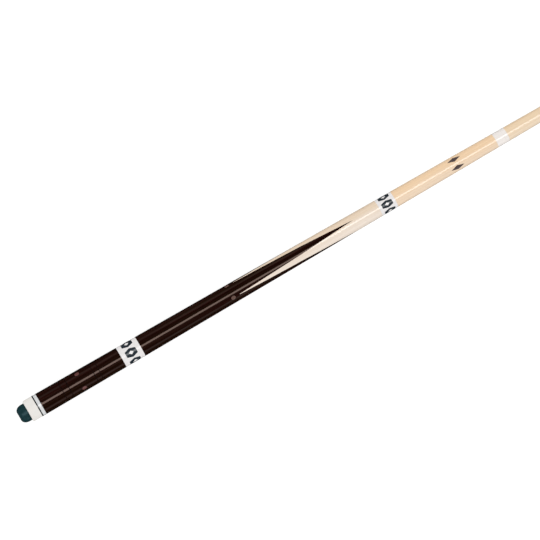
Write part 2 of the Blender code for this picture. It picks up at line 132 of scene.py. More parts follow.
# Inlays: angles round the cue, and length, width and depth
DOT_ANGLES = (-44.0, 46.0, 136.0, 226.0)
MARK_ANGLES = (-34.0, 33.0)
SLEEVE_DOT = (6.6, 5.2, 2.2)
POINT_DOT = (6.4, 5.4, 2.2)
MARK_LOZENGE = (20.0, 6.4, 1.9)
TILE_COUNT = 6
TILE_TURN = 4.0
TILE_LENGTH = 15.8
TILE_END = 0.6  # share of the tile's width left at its two blunt ends
TILE_WINDOW = 0.44  # window size as a share of the tile
TILE_WIDTH_ANGLE = 52.0
TILE_DEPTH = 1.7

# Camera: where it stands, what it aims at, the width in view in metres, and how
# steeply the cue rises in the picture
CAMERA_PLACE = (-0.001, 0.0013, 5.0)
CAMERA_TARGET = (0.381, 0.0013, 0.0)
VIEW_WIDTH = 0.7101
SENSOR_WIDTH = 36.0
CUE_RISE = 30.10

# Soft boxes: name, direction round the cue, distance, width, radiance, and whether
# the box shows in reflections; one that does casts no diffuse light
BOX_X = 0.75
BOX_LENGTH = 7.0
BOXES = (
    ("strip", 5.2, 3.0, 0.95, 3.9, True),
    ("left_box", -64.0, 3.0, 1.2, 0.23, True),
    ("right_box", 79.0, 3.0, 1.1, 0.45, True),
    ("top_box", 14.0, 3.3, 2.0, 0.40, False),
)
WHITE = (1.0, 1.0, 1.0, 1.0)
WORLD_FILL = 0.96
WORLD_IN_GLOSS = 0.01
WORLD_IN_VIEW = 1.0
FLOOR_GLOW = 0.82
FLOOR_REACH = 22.0

RECORD = frame["record"]
BODIES = {
    node: body
    for body, nodes in RECORD["behaviour"]["bodies"].items()
    for node in nodes
}


# ---------------------------------------------------------------- stations


def ends(node):
    """Rear and front of a CAD node along the cue."""
    low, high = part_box(node)
    return low.x / MM, high.x / MM


def tight(node):
    """The same, grown until the piece all but meets its neighbours."""
    rear, front = ends(node)
    grow = (CAD_GAP - SEAM) / 2
    return rear - grow, front + grow


def butt_radius(x):
    return (BUTT_D0 - BUTT_D1 * x - BUTT_D2 * x * x) / 2


SHAFT_REAR = tight("shaft_collar")[1] + SEAM
FERRULE_REAR = tight("ferrule")[0]
CAP_REAR = ends("butt_cap")[0] - CAD_GAP
JOINT_FACE = (ends("joint_collar")[1] + ends("shaft_collar")[0]) / 2
SPLICE_REAR = ends("forearm")[0] - 0.4
FOREARM_FRONT = ends("upper_band")[0] - CAD_GAP / 2


def shaft_radius(x):
    left = 1 - (x - SHAFT_REAR) / (FERRULE_REAR - SHAFT_REAR)
    return TIP_R + SHAFT_GROWTH / 2 * max(left, 0.0) ** SHAFT_POWER


def outside(rear, front, radius=butt_radius, count=2):
    """Points of a tapered outer surface from rear to front."""
    step = (front - rear) / (count - 1)
    return [(rear + step * i, radius(rear + step * i)) for i in range(count)]


def around(angle_deg):
    """The direction away from the axis at an angle from +Z towards -Y."""
    angle = math.radians(angle_deg)
    return Vector((0.0, -math.sin(angle), math.cos(angle)))


def turn_by(angle_deg):
    """Turns what stands at the top of the cue to an angle around it."""
    return Matrix.Rotation(math.radians(angle_deg), 4, "X")


# ---------------------------------------------------------------- meshes


def rounded(points, radius, closed=False, steps=3):
    """A line of 2-D points with each corner turned into a small arc."""
    out = []
    count = len(points)
    for i, point in enumerate(points):
        here = Vector(point)
        if not closed and i in (0, count - 1):
            out.append(here)
            continue
        before = Vector(points[i - 1])
        after = Vector(points[(i + 1) % count])
        back, ahead = before - here, after - here
        if min(back.length, ahead.length) < 1e-6 or back.angle(ahead) > STRAIGHT_ANGLE:
            out.append(here)
            continue
        cut = min(radius, back.length * 0.45, ahead.length * 0.45)
        start, end = here + back.normalized() * cut, here + ahead.normalized() * cut
        for step in range(steps + 1):
            t = step / steps
            out.append(start * (1 - t) ** 2 + here * 2 * t * (1 - t) + end * t * t)
    return [tuple(p) for p in out]


def new_object(name, shape):
    mesh = bpy.data.meshes.new(name)
    bmesh.ops.recalc_face_normals(shape, faces=shape.faces)
    shape.to_mesh(mesh)
    shape.free()
    obj = bpy.data.objects.new(name, mesh)
    bpy.context.scene.collection.objects.link(obj)
    return obj


def lathe(name, rows, sides=SIDES, ring=False, radius=None):
    """A closed solid turned about X from (x, radius) rows.

    A ring has a bore, so its rows close on themselves; otherwise the first and
    last rows lie on the axis. radius(x, r, angle) may change each vertex's radius.
    """
    shape = bmesh.new()
    loops = []
    for x, r in rows:
        if r < 1e-6:
            loops.append([shape.verts.new((x * MM, 0.0, 0.0))])
            continue
        loop = []
        for side in range(sides):
            angle = 2 * math.pi * side / sides
            away = radius(x, r, angle) if radius else r
            y, z = away * math.cos(angle), away * math.sin(angle)
            loop.append(shape.verts.new((x * MM, y * MM, z * MM)))
        loops.append(loop)
    pairs = list(zip(loops, loops[1:]))
    if ring:
        pairs.append((loops[-1], loops[0]))
    for first, second in pairs:
        for side in range(sides):
            after = (side + 1) % sides
            corners = [first[side % len(first)], second[side % len(second)]]
            if len(second) > 1:
                corners.append(second[after])
            if len(first) > 1:
                corners.append(first[after])
            if len(corners) > 2:
                shape.faces.new(corners)
    return new_object(name, shape)


def solid(name, outer, sides=SIDES, edge=0.08, rear_bore=(), front_bore=()):
    """A turned solid with softened edges; blind bores go in from either end.

    Either bore runs from its mouth inward and ends on the axis.
    """
    rows = list(reversed(rear_bore)) or [(outer[0][0], 0.0)]
    rows += outer
    rows += list(front_bore) or [(outer[-1][0], 0.0)]
    return lathe(name, rounded(rows, edge), sides)


def tube(name, outer, bore, sides=SIDES, edge=0.08):
    """A turned ring with softened edges; bore points run from rear to front."""
    rows = list(outer) + list(reversed(bore))
    return lathe(name, rounded(rows, edge, closed=True), sides, ring=True)


def prism(name, outline, low, high):
    """An upright prism at the top of the cue from (x, y) points."""
    shape = bmesh.new()
    floor = [shape.verts.new((x * MM, y * MM, low * MM)) for x, y in outline]
    roof = [shape.verts.new((x * MM, y * MM, high * MM)) for x, y in outline]
    shape.faces.new(floor)
    shape.faces.new(roof)
    count = len(outline)
    for i in range(count):
        after = (i + 1) % count
        shape.faces.new((floor[i], floor[after], roof[after], roof[i]))
    return new_object(name, shape)


def loft(name, sections):
    """A closed solid through cross-sections of equally many corners each."""
    shape = bmesh.new()
    loops = [[shape.verts.new(Vector(p) * MM) for p in section] for section in sections]
    count = len(loops[0])
    for first, second in zip(loops, loops[1:]):
        for i in range(count):
            after = (i + 1) % count
            shape.faces.new((first[i], first[after], second[after], second[i]))
    shape.faces.new(loops[0])
    shape.faces.new(loops[-1])
    return new_object(name, shape)


def combine(obj, tool, operation, keep_tool=False):
    """An exact Boolean, applied at once."""
    modifier = obj.modifiers.new("cut", "BOOLEAN")
    modifier.operation = operation
    modifier.solver = "EXACT"
    modifier.object = tool
    bpy.context.view_layer.update()
    graph = bpy.context.evaluated_depsgraph_get()
    mesh = bpy.data.meshes.new_from_object(obj.evaluated_get(graph))
    obj.modifiers.clear()
    obj.data = mesh
    if not keep_tool:
        bpy.data.objects.remove(tool)
    return obj


def turned_copy(obj, name, angle_deg):
    """A copy of what stands at the top of the cue, turned round it."""
    mesh = obj.data.copy()
    mesh.transform(turn_by(angle_deg))
    made = bpy.data.objects.new(name, mesh)
    bpy.context.scene.collection.objects.link(made)
    return made


def shade(obj):
    """Smooth faces with sharp real edges, and flat faces that stay flat."""
    obj.data.shade_smooth()
    obj.data.set_sharp_from_angle(angle=SHARP_ANGLE)
    weighted = obj.modifiers.new("normals", "WEIGHTED_NORMAL")
    weighted.keep_sharp = True
    weighted.weight = 80
    return obj


def shade_round(obj, radius=butt_radius):
    """Exact normals on the cue's outer surface, so that cut faces show no facets."""
    mesh = obj.data
    mesh.shade_smooth()
    normals = [Vector(loop.normal) for loop in mesh.loops]
    for face in mesh.polygons:
        for index in face.loop_indices:
            spot = mesh.vertices[mesh.loops[index].vertex_index].co / MM
            across = Vector((0.0, spot.y, spot.z))
            slope = radius(spot.x + 0.5) - radius(spot.x - 0.5)
            on_skin = abs(across.length - radius(spot.x)) < 0.04
            away = across.normalized()
            if on_skin and face.normal.dot(away) > 0.9:
                normals[index] = (away - Vector((slope, 0, 0))).normalized()
            else:
                normals[index] = face.normal.copy()
    mesh.normals_split_custom_set(normals)
    return obj


# ---------------------------------------------------------------- materials


class Look:
    """A node material on the Principled shader, with short ways to add nodes."""

    def __init__(self, name):
        self.material = bpy.data.materials.new(name)
        self.material.use_nodes = True
        self.tree = self.material.node_tree
        self.shader = self.tree.nodes["Principled BSDF"]
        self.place = self.node("ShaderNodeTexCoord").outputs["Object"]

    def node(self, kind, inputs=None, **settings):
        made = self.tree.nodes.new(kind)
        for key, value in settings.items():
            setattr(made, key, value)
        for key, value in (inputs or {}).items():
            self.feed(made, key, value)
        return made

    def feed(self, node, key, value):
        if isinstance(value, bpy.types.NodeSocket):
            self.tree.links.new(value, node.inputs[key])
        else:
            node.inputs[key].default_value = value

    def set(self, **values):
        for key, value in values.items():
            self.feed(self.shader, key.replace("_", " "), value)

    def noise(self, length, width, detail=4.0, roughness=0.55, shift=0.0, warp=0.0):
        """Noise whose spots are length by width millimetres, long along the cue."""
        scale = (1 / (length * MM), 1 / (width * MM), 1 / (width * MM))
        mapping = self.node(
            "ShaderNodeMapping",
            {"Vector": self.place, "Scale": scale, "Location": (shift, shift, shift)},
        )
        made = self.node(
            "ShaderNodeTexNoise",
            {
                "Vector": mapping.outputs["Vector"],
                "Scale": 1.0,
                "Detail": detail,
                "Roughness": roughness,
                "Distortion": warp,
            },
        )
        return made.outputs["Fac"]

    def rings(self, centre, spacing, sway, detail=3.0):
        """Growth rings: noise on the distance from a tree's centre beside the cue."""
        bend = self.math("MULTIPLY", self.noise(260, 26, 2.0), sway * MM)
        apart = self.node(
            "ShaderNodeVectorMath",
            {0: self.place, 1: (0.0, centre[0] * MM, centre[1] * MM)},
            operation="SUBTRACT",
        )
        flat = self.node(
            "ShaderNodeVectorMath",
            {0: apart.outputs["Vector"], 1: (0.0, 1.0, 1.0)},
            operation="MULTIPLY",
        )
        away = self.node(
            "ShaderNodeVectorMath", {0: flat.outputs["Vector"]}, operation="LENGTH"
        )
        distance = self.math("ADD", away.outputs["Value"], bend)
        made = self.node(
            "ShaderNodeTexNoise",
            {
                "W": self.math("DIVIDE", distance, spacing * MM),
                "Scale": 1.0,
                "Detail": detail,
                "Roughness": 0.6,
            },
            noise_dimensions="1D",
        )
        return made.outputs["Fac"]

    def math(self, operation, first, second=0.0, clamp=False):
        made = self.node(
            "ShaderNodeMath",
            {0: first, 1: second},
            operation=operation,
            use_clamp=clamp,
        )
        return made.outputs["Value"]

    def span(self, value, low, high, out_low=0.0, out_high=1.0):
        """value from low to high becomes out_low to out_high, held at both ends."""
        made = self.node(
            "ShaderNodeMapRange",
            {"Value": value, 1: low, 2: high, 3: out_low, 4: out_high},
        )
        return made.outputs["Result"]

    def ramp(self, value, *stops):
        """A colour ramp from (position, (r, g, b)) stops."""
        made = self.node("ShaderNodeValToRGB", {"Fac": value})
        bar = made.color_ramp
        while len(bar.elements) < len(stops):
            bar.elements.new(0.5)
        for element, (position, colour) in zip(bar.elements, stops):
            element.position = position
            element.color = (*colour, 1.0)
        return made.outputs["Color"]

    def mix(self, share, first, second, blend="MIX"):
        made = self.node("ShaderNodeMix", data_type="RGBA", blend_type=blend)
        made.clamp_factor = True
        self.feed(made, 0, share)
        for key, value in ((6, first), (7, second)):
            if isinstance(value, tuple):
                value = (*value, 1.0)
            self.feed(made, key, value)
        return made.outputs[2]

    def along(self):
        """The distance along the cue, in metres."""
        parts = self.node("ShaderNodeSeparateXYZ", {"Vector": self.place})
        return parts.outputs["X"]

    def across(self):
        """The distance to the left of the cue's axis, in metres."""
        parts = self.node("ShaderNodeSeparateXYZ", {"Vector": self.place})
        return parts.outputs["Y"]

    def bump(self, height, depth, strength=1.0, normal=None):
        """A bump whose full height is depth millimetres."""
        inputs = {"Height": height, "Strength": strength, "Distance": depth * MM}
        if normal is not None:
            inputs["Normal"] = normal
        return self.node("ShaderNodeBump", inputs).outputs["Normal"]

    def lacquer(self, weight=1.0, roughness=0.05):
        """A clear coat, very slightly rippled as sprayed lacquer is."""
        self.set(Coat_Weight=weight, Coat_IOR=1.62, Coat_Roughness=roughness)
        ripple = self.noise(7, 3.5, 1.0, shift=4.0)
        self.set(Coat_Normal=self.bump(ripple, 0.012, 0.5))


def dark_wood():
    """Near-black brown hardwood with reddish and olive streaks, open pores, lacquer."""
    look = Look("dark_wood")
    streaks = look.noise(170, 2.6, 6.0, 0.6, warp=0.3)
    rings = look.rings((-46.0, -30.0), 1.7, 9.0)
    blend = look.math(
        "ADD", look.math("MULTIPLY", streaks, 0.55), look.math("MULTIPLY", rings, 0.45)
    )
    colour = look.ramp(
        blend,
        (0.36, (0.0080, 0.0019, 0.0010)),
        (0.47, (0.0112, 0.0029, 0.0017)),
        (0.56, (0.0155, 0.0048, 0.0032)),
        (0.68, (0.0250, 0.0092, 0.0066)),
    )
    tint = look.noise(420, 5.5, 2.0, shift=7.0)
    red = look.mix(look.span(tint, 0.52, 0.66), (1.0, 1.0, 1.0), (1.22, 0.86, 0.95))
    olive = look.mix(look.span(tint, 0.47, 0.36), (1.0, 1.0, 1.0), (0.93, 1.22, 0.80))
    colour = look.mix(1.0, colour, red, "MULTIPLY")
    colour = look.mix(1.0, colour, olive, "MULTIPLY")
    pores = look.noise(6.5, 0.30, 2.0, 0.5, shift=2.0)
    pore = look.span(pores, 0.62, 0.70)
    colour = look.mix(look.math("MULTIPLY", pore, 0.6), colour, (0.005, 0.0012, 0.0008))
    look.set(
        Base_Color=colour,
        Roughness=look.span(streaks, 0.3, 0.7, 0.07, 0.11),
        Specular_IOR_Level=0.5,
        Specular_Tint=(1.0, 0.73, 0.62, 1.0),
        Normal=look.bump(look.math("SUBTRACT", 1.0, pore), 0.002, 0.3),
    )
    return look.material


def maple(name, pale, shaded_warm, shift=0.0):
    """Pale close-grained maple under lacquer: one side painted paler as painted light, the
    other painted warmer as painted shade, faint rings, fine flecks.
    """
    look = Look(name)
    # Painted light and shade: across the cue the colour goes from the pale colour on the -Y
    # side and top to the warm colour, painted shade, on the +Y side, wavering a little along
    # it.
    sway = look.math("MULTIPLY", look.noise(140, 12, 2.0, shift=shift + 6.0), 8 * MM)
    side = look.math("ADD", look.across(), sway)
    colour = look.mix(look.span(side, -2 * MM, 9 * MM), pale, shaded_warm)
    rings = look.rings((58.0 + shift, 34.0), 2.4, 7.0, 4.0)
    colour = look.mix(
        look.span(rings, 0.40, 0.66, 0.0, 0.75), colour, (0.955, 0.915, 0.87), "MULTIPLY"
    )
    fibres = look.noise(70, 0.55, 5.0, 0.6, shift=shift)
    colour = look.mix(
        look.span(fibres, 0.50, 0.78, 0.0, 0.6), colour, (0.93, 0.88, 0.82), "MULTIPLY"
    )
    clouds = look.noise(190, 9.0, 2.0, shift=shift + 3.0)
    lighter = tuple(min(c * 1.04, 1.0) for c in pale)
    colour = look.mix(look.span(clouds, 0.45, 0.68, 0.0, 0.4), colour, lighter)
    flecks = look.noise(3.4, 0.20, 1.0, 0.4, shift=shift + 9.0)
    fleck = look.span(flecks, 0.66, 0.74, 0.0, 0.4)
    colour = look.mix(fleck, colour, (0.78, 0.66, 0.54), "MULTIPLY")
    look.set(
        Base_Color=colour,
        Roughness=look.span(fibres, 0.3, 0.7, 0.40, 0.52),
        Specular_IOR_Level=0.2,
        Normal=look.bump(fibres, 0.02, 0.25),
    )
    look.lacquer(1.0, 0.06)
    return look.material


def plastic(name, colour, shade_colour, roughness=0.22, coat=0.4, specular=0.4):
    """Polished cast plastic: soft clouding, fine turning marks, light scuffs."""
    look = Look(name)
    clouds = look.noise(9, 6, 3.0)
    mottled = look.mix(look.span(clouds, 0.4, 0.66), colour, shade_colour)
    scuffs = look.noise(0.5, 7.0, 2.0, 0.6, shift=5.0)
    marks = look.span(scuffs, 0.60, 0.74)
    dull = tuple(c * 0.93 for c in shade_colour)
    mottled = look.mix(look.math("MULTIPLY", marks, 0.5), mottled, dull)
    look.set(
        Base_Color=mottled,
        Roughness=look.span(marks, 0.0, 1.0, roughness, roughness + 0.14),
        Normal=look.bump(scuffs, 0.006, 0.3),
        Specular_IOR_Level=specular,
        Coat_Weight=coat,
        Coat_Roughness=0.08,
    )
    return look.material


def rubber():
    """Moulded teal rubber, dull, with scuffs and a painted sheen, a lighter colour, on the
    end that meets the floor.
    """
    look = Look("teal_rubber")
    grain = look.noise(0.35, 0.35, 3.0, 0.6)
    clouds = look.noise(5, 5, 3.0)
    colour = look.mix(
        look.span(clouds, 0.38, 0.68), (0.006, 0.032, 0.037), (0.009, 0.042, 0.049)
    )
    # Scuffs and painted sheen: in noisy patches, the colour goes lighter over the first 3.5
    # mm of the rounded end.
    end = look.span(look.along(), 0.0, 0.0035, 1.0, 0.0)
    scuff_and_sheen = look.math("MULTIPLY", end, look.span(look.noise(1.2, 1.6, 4.0), 0.45, 0.7))
    colour = look.mix(look.math("MULTIPLY", scuff_and_sheen, 0.5), colour, (0.035, 0.075, 0.080))
    look.set(
        Base_Color=colour,
        Roughness=look.span(clouds, 0.3, 0.7, 0.30, 0.40),
        Normal=look.bump(grain, 0.03, 0.2),
        Specular_IOR_Level=0.3,
        Specular_Tint=(0.6, 0.9, 1.0, 1.0),
    )
    return look.material


def leather():
    """Pressed layered leather: thin layers round the side, a rough worn crown."""
    look = Look("leather")
    layers = look.noise(0.34, 9.0, 2.0, 0.5)
    grain = look.noise(0.22, 0.22, 4.0, 0.65, shift=3.0)
    colour = look.ramp(
        layers,
        (0.36, (0.040, 0.014, 0.011)),
        (0.52, (0.085, 0.030, 0.024)),
        (0.66, (0.140, 0.058, 0.042)),
    )
    colour = look.mix(look.span(grain, 0.52, 0.7, 0.0, 0.5), colour, (0.03, 0.012, 0.01))
    look.set(
        Base_Color=colour,
        Roughness=look.span(grain, 0.3, 0.7, 0.62, 0.85),
        Normal=look.bump(grain, 0.08, 0.6),
        Specular_IOR_Level=0.25,
    )
    return look.material


def fibre():
    """Red-brown vulcanised fibre pad."""
    look = Look("fibre")
    grain = look.noise(0.4, 0.3, 4.0, 0.6)
    colour = look.mix(
        look.span(grain, 0.4, 0.65), (0.20, 0.022, 0.014), (0.30, 0.045, 0.028)
    )
    look.set(
        Base_Color=colour,
        Roughness=look.span(grain, 0.3, 0.7, 0.5, 0.66),
        Normal=look.bump(grain, 0.02, 0.4),
    )
    return look.material


def metal(name, bright, dull, roughness):
    """Turned metal: fine marks round the cue, soft stains, a little oxide."""
    look = Look(name)
    turning = look.noise(0.12, 30.0, 3.0, 0.6)
    stains = look.noise(4.0, 3.0, 4.0, 0.6, shift=6.0)
    colour = look.mix(look.span(stains, 0.42, 0.68), bright, dull)
    look.set(
        Base_Color=colour,
        Metallic=1.0,
        Roughness=look.span(stains, 0.3, 0.7, roughness, roughness + 0.15),
        Normal=look.bump(turning, 0.01, 0.5),
    )
    return look.material


LOOKS = {
    "dark_wood": dark_wood(),
    # Each maple's first colour is its paler, painted-lit -Y side, and its second is its
    # warmer, painted-shade +Y side.
    "forearm": maple("maple_forearm", (0.865, 0.76, 0.66), (0.845, 0.69, 0.53)),
    "nose": maple("maple_nose", (0.875, 0.69, 0.513), (0.915, 0.664, 0.424), 11.0),
    "shaft": maple("maple_shaft", (0.87, 0.71, 0.53), (0.87, 0.67, 0.45), 23.0),
    "cap": plastic("white_cap", (0.79, 0.775, 0.74), (0.78, 0.75, 0.71), 0.45, 0.0, 0.25),
    "band": plastic("white_band", (0.81, 0.785, 0.785), (0.80, 0.775, 0.765), 0.22, 0.2),
    "white_ring": plastic("white_ring", (0.70, 0.715, 0.72), (0.68, 0.69, 0.69), 0.2, 0.8),
    "collar": plastic("white_collar", (0.885, 0.83, 0.79), (0.875, 0.82, 0.775), 0.2, 0.8),
    "ring": plastic("black_plastic", (0.012, 0.020, 0.020), (0.018, 0.026, 0.026), 0.2, 1.0),
    "groove": plastic(
        "ring_black", (0.008, 0.002, 0.001), (0.011, 0.003, 0.002), 0.7, 0.0, 0.05
    ),
    "tile": plastic("dark_inlay", (0.014, 0.024, 0.032), (0.028, 0.036, 0.048)),
    "mark": plastic("mark_inlay", (0.075, 0.052, 0.050), (0.10, 0.072, 0.068)),
    "rose": plastic("rose_inlay", (0.135, 0.050, 0.044), (0.15, 0.062, 0.058)),
    "brown": plastic("brown_inlay", (0.130, 0.072, 0.056), (0.14, 0.082, 0.066)),
    "ferrule": plastic("ferrule_plastic", (0.80, 0.745, 0.63), (0.77, 0.705, 0.58), 0.3),
    "rubber": rubber(),
    "steel": metal("steel", (0.62, 0.62, 0.63), (0.50, 0.50, 0.52), 0.22),
    "brass": metal("brass", (0.80, 0.58, 0.24), (0.62, 0.42, 0.16), 0.25),
    "fibre": fibre(),
    "leather": leather(),
}


# ---------------------------------------------------------------- pieces


def settle(piece, node, look):
    """Give a finished piece its look, and stand it in for its CAD node."""
    piece.name = f"{node}_look"
    piece.data.name = piece.name
    piece.data.materials.clear()
    piece.data.materials.append(LOOKS[look])
    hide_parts(node)
    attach(piece, BODIES[node])
    return piece


def make_ring(node, look, bore_radius=TENON_R + CAD_GAP):
    """A plain turned ring of one look."""
    rear, front = tight(node)
    bore = [(rear, bore_radius), (front, bore_radius)]
    piece = tube(node, outside(rear, front), bore, edge=0.05)
    return settle(shade(piece), node, look)


def make_cap():
    """The white butt cap, its rear edge rounded over."""
    rear, front = CAP_REAR + 0.06, tight("butt_cap")[1]
    seat = ends("handle")[0] - CAD_GAP
    turned_edge = [(rear, butt_radius(rear) - CAP_EDGE - 0.1)]
    for step in range(1, 10):
        angle = math.radians(10 * step)
        x = rear + CAP_EDGE * (1 - math.cos(angle))
        turned_edge.append((x, butt_radius(x) - CAP_EDGE * (1 - math.sin(angle))))
    outer = turned_edge + [(front, butt_radius(front))]
    bore = [(rear, WEIGHT_BORE_R), (seat, WEIGHT_BORE_R)]
    bore += [(seat, TENON_R + CAD_GAP), (front, TENON_R + CAD_GAP)]
    piece = tube("cap", outer, bore, edge=0.05)
    return settle(shade(piece), "butt_cap", "cap")


def skin(x):
    """A length of the cue's outer shape round x, to trim inlays flush."""
    rear, front = x - 20, x + 20
    return lathe("skin", [(rear, 0.0)] + outside(rear, front) + [(front, 0.0)])


def inlay(name, x, angles, size, outline, look, host):
    """Plugs let into a host all round, flush with its surface."""
    length, width, depth = size
    low = butt_radius(x) - depth
    for index, angle in enumerate(angles):
        plug = prism(name, outline(length, width), low, CLEAR)
        combine(plug, skin(x), "INTERSECT")
        plug.data.transform(turn_by(angle))
        wide = SEAM * 2
        hole = prism("hole", outline(length + wide, width + wide), low - SEAM, CLEAR + 2)
        hole.data.transform(turn_by(angle))
        combine(host, hole, "DIFFERENCE")
        settle(shade_round(plug), f"{name}_{index + 1}", look)


def oval(x):
    """The outline of a round dot at x, as a function of its length and width."""

    def outline(length, width, count=40):
        angles = (2 * math.pi * i / count for i in range(count))
        return [
            (x + length / 2 * math.cos(a), width / 2 * math.sin(a)) for a in angles
        ]

    return outline


def lozenge(x):
    """The outline of a lozenge at x, as a function of its length and width."""

    def outline(length, width):
        corners = [
            (x - length / 2, 0.0),
            (x, -width / 2),
            (x + length / 2, 0.0),
            (x, width / 2),
        ]
        return rounded(corners, 0.4, closed=True)

    return outline


def middle(node):
    rear, front = ends(node)
    return (rear + front) / 2


def make_sleeve():
    """The dark sleeve: five lengths of wood with thin black rings between."""
    for part in ("rear", "rear_collar", "front_collar", "front"):
        make_ring(f"sleeve_{part}", "dark_wood")
    for index in range(4):
        make_ring(f"sleeve_ring_{index + 1}", "groove")
    rear, front = tight("sleeve_window")
    bore = [(rear, TENON_R + CAD_GAP), (front, TENON_R + CAD_GAP)]
    window = tube("window", outside(rear, front, count=4), bore, edge=0.05)
    x = middle("sleeve_dot_1")
    inlay("sleeve_dot", x, DOT_ANGLES, SLEEVE_DOT, oval(x), "rose", window)
    settle(shade_round(window), "sleeve_window", "dark_wood")


def tile_solid(x, low, high, grow):
    """A band tile at the top of the cue: a blunt lozenge with a lozenge window."""
    half_length = TILE_LENGTH / 2 + grow
    half_width = butt_radius(x) * math.sin(math.radians(TILE_WIDTH_ANGLE / 2)) + grow
    blunt = half_width * TILE_END
    outline = [
        (x - half_length, -blunt),
        (x, -half_width),
        (x + half_length, -blunt),
        (x + half_length, blunt),
        (x, half_width),
        (x - half_length, blunt),
    ]
    tile = prism("tile", rounded(outline, 0.5, closed=True), low - grow, high + grow)
    long, wide = half_length * TILE_WINDOW, half_width * TILE_WINDOW
    opening = lozenge(x)(2 * long - 4 * grow, 2 * wide - 4 * grow)
    combine(tile, prism("window", opening, low - 2, high + 2), "DIFFERENCE")
    return tile


def make_band(node, bore_radius):
    """A white band with dark tiles inlaid all round, flush with it."""
    rear, front = tight(node)
    x = (rear + front) / 2
    bore = [(rear, bore_radius), (front, bore_radius)]
    band = tube("band", outside(rear, front, count=6), bore, edge=0.05)
    low = butt_radius(x) - TILE_DEPTH
    tile = tile_solid(x, low, CLEAR, 0.0)
    combine(tile, skin(x), "INTERSECT")
    pocket = tile_solid(x, low, CLEAR, SEAM)
    for index in range(TILE_COUNT):
        angle = 360 * index / TILE_COUNT + TILE_TURN
        combine(band, turned_copy(pocket, "hole", angle), "DIFFERENCE")
        piece = turned_copy(tile, "tile_copy", angle)
        settle(shade_round(piece), f"{node}_tile_{index + 1}", "tile")
    bpy.data.objects.remove(tile)
    bpy.data.objects.remove(pocket)
    settle(shade_round(band), node, "band")


def splice_reach(x):
    """Distance from the axis to the bottom of each maple point at x."""
    rear, knee, front = SPLICE_BOTTOM
    start, end = (rear, knee) if x < knee[0] else (knee, front)
    share = (x - start[0]) / (end[0] - start[0])
    return max(start[1] + (end[1] - start[1]) * share, 0.0)


def make_handle():
    """Dark wood handle with its four long points, and the dots at their roots."""
    rear_end = ends("handle")[0]
    seam = tight("lower_band")[1] + SEAM
    front = SPLICE_BOTTOM[2][0] - 1.5
    outer = [(rear_end, TENON_R), (seam, TENON_R)]
    outer += outside(seam, front, count=24)
    depth = ends("weight_bolt")[1] + 2
    bore = [(rear_end, WEIGHT_BORE_R), (depth, WEIGHT_BORE_R), (depth + 3.6, 0.0)]
    handle = solid("handle", outer, edge=0.05, rear_bore=bore)
    for angle in POINT_ANGLES:
        out, side = around(angle), around(angle + 90)
        sections = []
        for x in (SPLICE_REAR - SEAM, SPLICE_BOTTOM[1][0], SPLICE_BOTTOM[2][0], front + 4):
            foot = Vector((x, 0, 0)) + out * (splice_reach(x) - SEAM)
            far = foot + FAR * out
            sections.append([foot, far + FAR * side, far - FAR * side])
        combine(handle, loft("wedge", sections), "DIFFERENCE")
    x = middle("point_dot_1")
    inlay("point_dot", x, POINT_ANGLES, POINT_DOT, oval(x), "brown", handle)
    settle(shade_round(handle), "handle", "dark_wood")


def make_forearm():
    """Maple forearm: four points let into the handle, then a solid length."""
    start, front = SPLICE_REAR, FOREARM_FRONT - SEAM
    outer = outside(start, front, count=26)
    outer += [(front, FOREARM_TENON_R), (ends("forearm")[1], FOREARM_TENON_R)]
    forearm = solid("forearm", outer, edge=0.05)
    for angle in (POINT_ANGLES[0] + 45, POINT_ANGLES[0] + 135):
        across, side = around(angle), FAR * around(angle + 90)
        sections = []
        for x in (SPLICE_REAR - 5, SPLICE_BOTTOM[1][0], SPLICE_BOTTOM[2][0] - 0.9):
            half = across * (splice_reach(x) / math.sqrt(2) + SEAM / 2)
            corners = (half + side, half - side, -half - side, -half + side)
            sections.append([Vector((x, 0, 0)) + corner for corner in corners])
        combine(forearm, loft("slot", sections), "DIFFERENCE")
    settle(shade_round(forearm), "forearm", "forearm")


def make_nose():
    """Maple between the upper band and the joint, with the two dark lozenges."""
    rear = tight("upper_band")[1] + SEAM
    front = tight("joint_collar")[0] - SEAM
    face = JOINT_FACE - CAD_GAP
    outer = outside(rear, front, count=14)
    outer += [(front, COLLAR_TENON_R), (face, COLLAR_TENON_R)]
    depth = ends("forearm")[1] + 1
    socket_r = FOREARM_TENON_R + CAD_GAP
    socket = [(rear, socket_r), (depth, socket_r), (depth, 0.0)]
    root = ends("joint_pin")[0] - 1
    hole_r = PIN_CREST_R + CAD_GAP
    hole = [(face, hole_r), (root, hole_r), (root, 0.0)]
    nose = solid("nose", outer, edge=0.05, rear_bore=socket, front_bore=hole)
    x = middle("mark_lozenge_1")
    inlay("mark_lozenge", x, MARK_ANGLES, MARK_LOZENGE, lozenge(x), "mark", nose)
    settle(shade_round(nose), "forearm_nose", "nose")


def thread_depth(x, angle, start, stop):
    """How deep the joint thread is cut at x, from 0 at its crest to 1 at its root."""
    share = ((x - JOINT_FACE) / PITCH - angle / (2 * math.pi)) % 1.0
    flank = (abs(share - 0.5) - THREAD_LAND) / THREAD_FLANK
    depth = min(max(flank, 0.0), 1.0)
    fade_in = min(max((x - start) / THREAD_FADE, 0.0), 1.0)
    fade_out = min(max((stop - x) / THREAD_FADE, 0.0), 1.0)
    return depth * fade_in * fade_out


